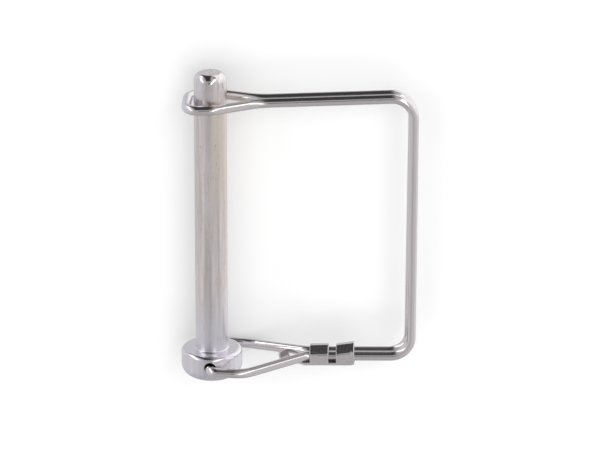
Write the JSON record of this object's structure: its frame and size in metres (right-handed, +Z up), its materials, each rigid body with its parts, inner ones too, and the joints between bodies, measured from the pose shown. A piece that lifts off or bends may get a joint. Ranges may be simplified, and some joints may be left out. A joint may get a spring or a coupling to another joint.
{
  "type": "wire lock pin",
  "caption": "Headed steel pin held by a square spring wire bail that turns in its head and snaps over its tip",
  "frame": {"origin": "on the shank's axis, in the plane of the head's upper face, which is the shoulder that the pinned work rests against", "axes": "the object lies on its side as it comes to rest: +Z is up, +Y runs along the shank from the head to the tip, and the closed bail reaches towards +X"},
  "size_m": [0.0697, 0.0945, 0.0254],
  "materials": {
    "plated_pin": "satin zinc plate",
    "plated_wire": "bright zinc plate",
    "plated_clip": "bright zinc plate"
  },
  "bodies": {
    "pin": {"pin": "plated_pin"},
    "bail": {"wire_bail": "plated_wire", "crimp_clip": "plated_clip"}
  },
  "joints": [
    {"name": "bail_swing", "type": "hinge", "parent": "pin", "child": "bail", "pos_m": [0, -0.00315, 0], "axis": [0, 0, -1], "range_deg": [0, 253]}
  ]
}
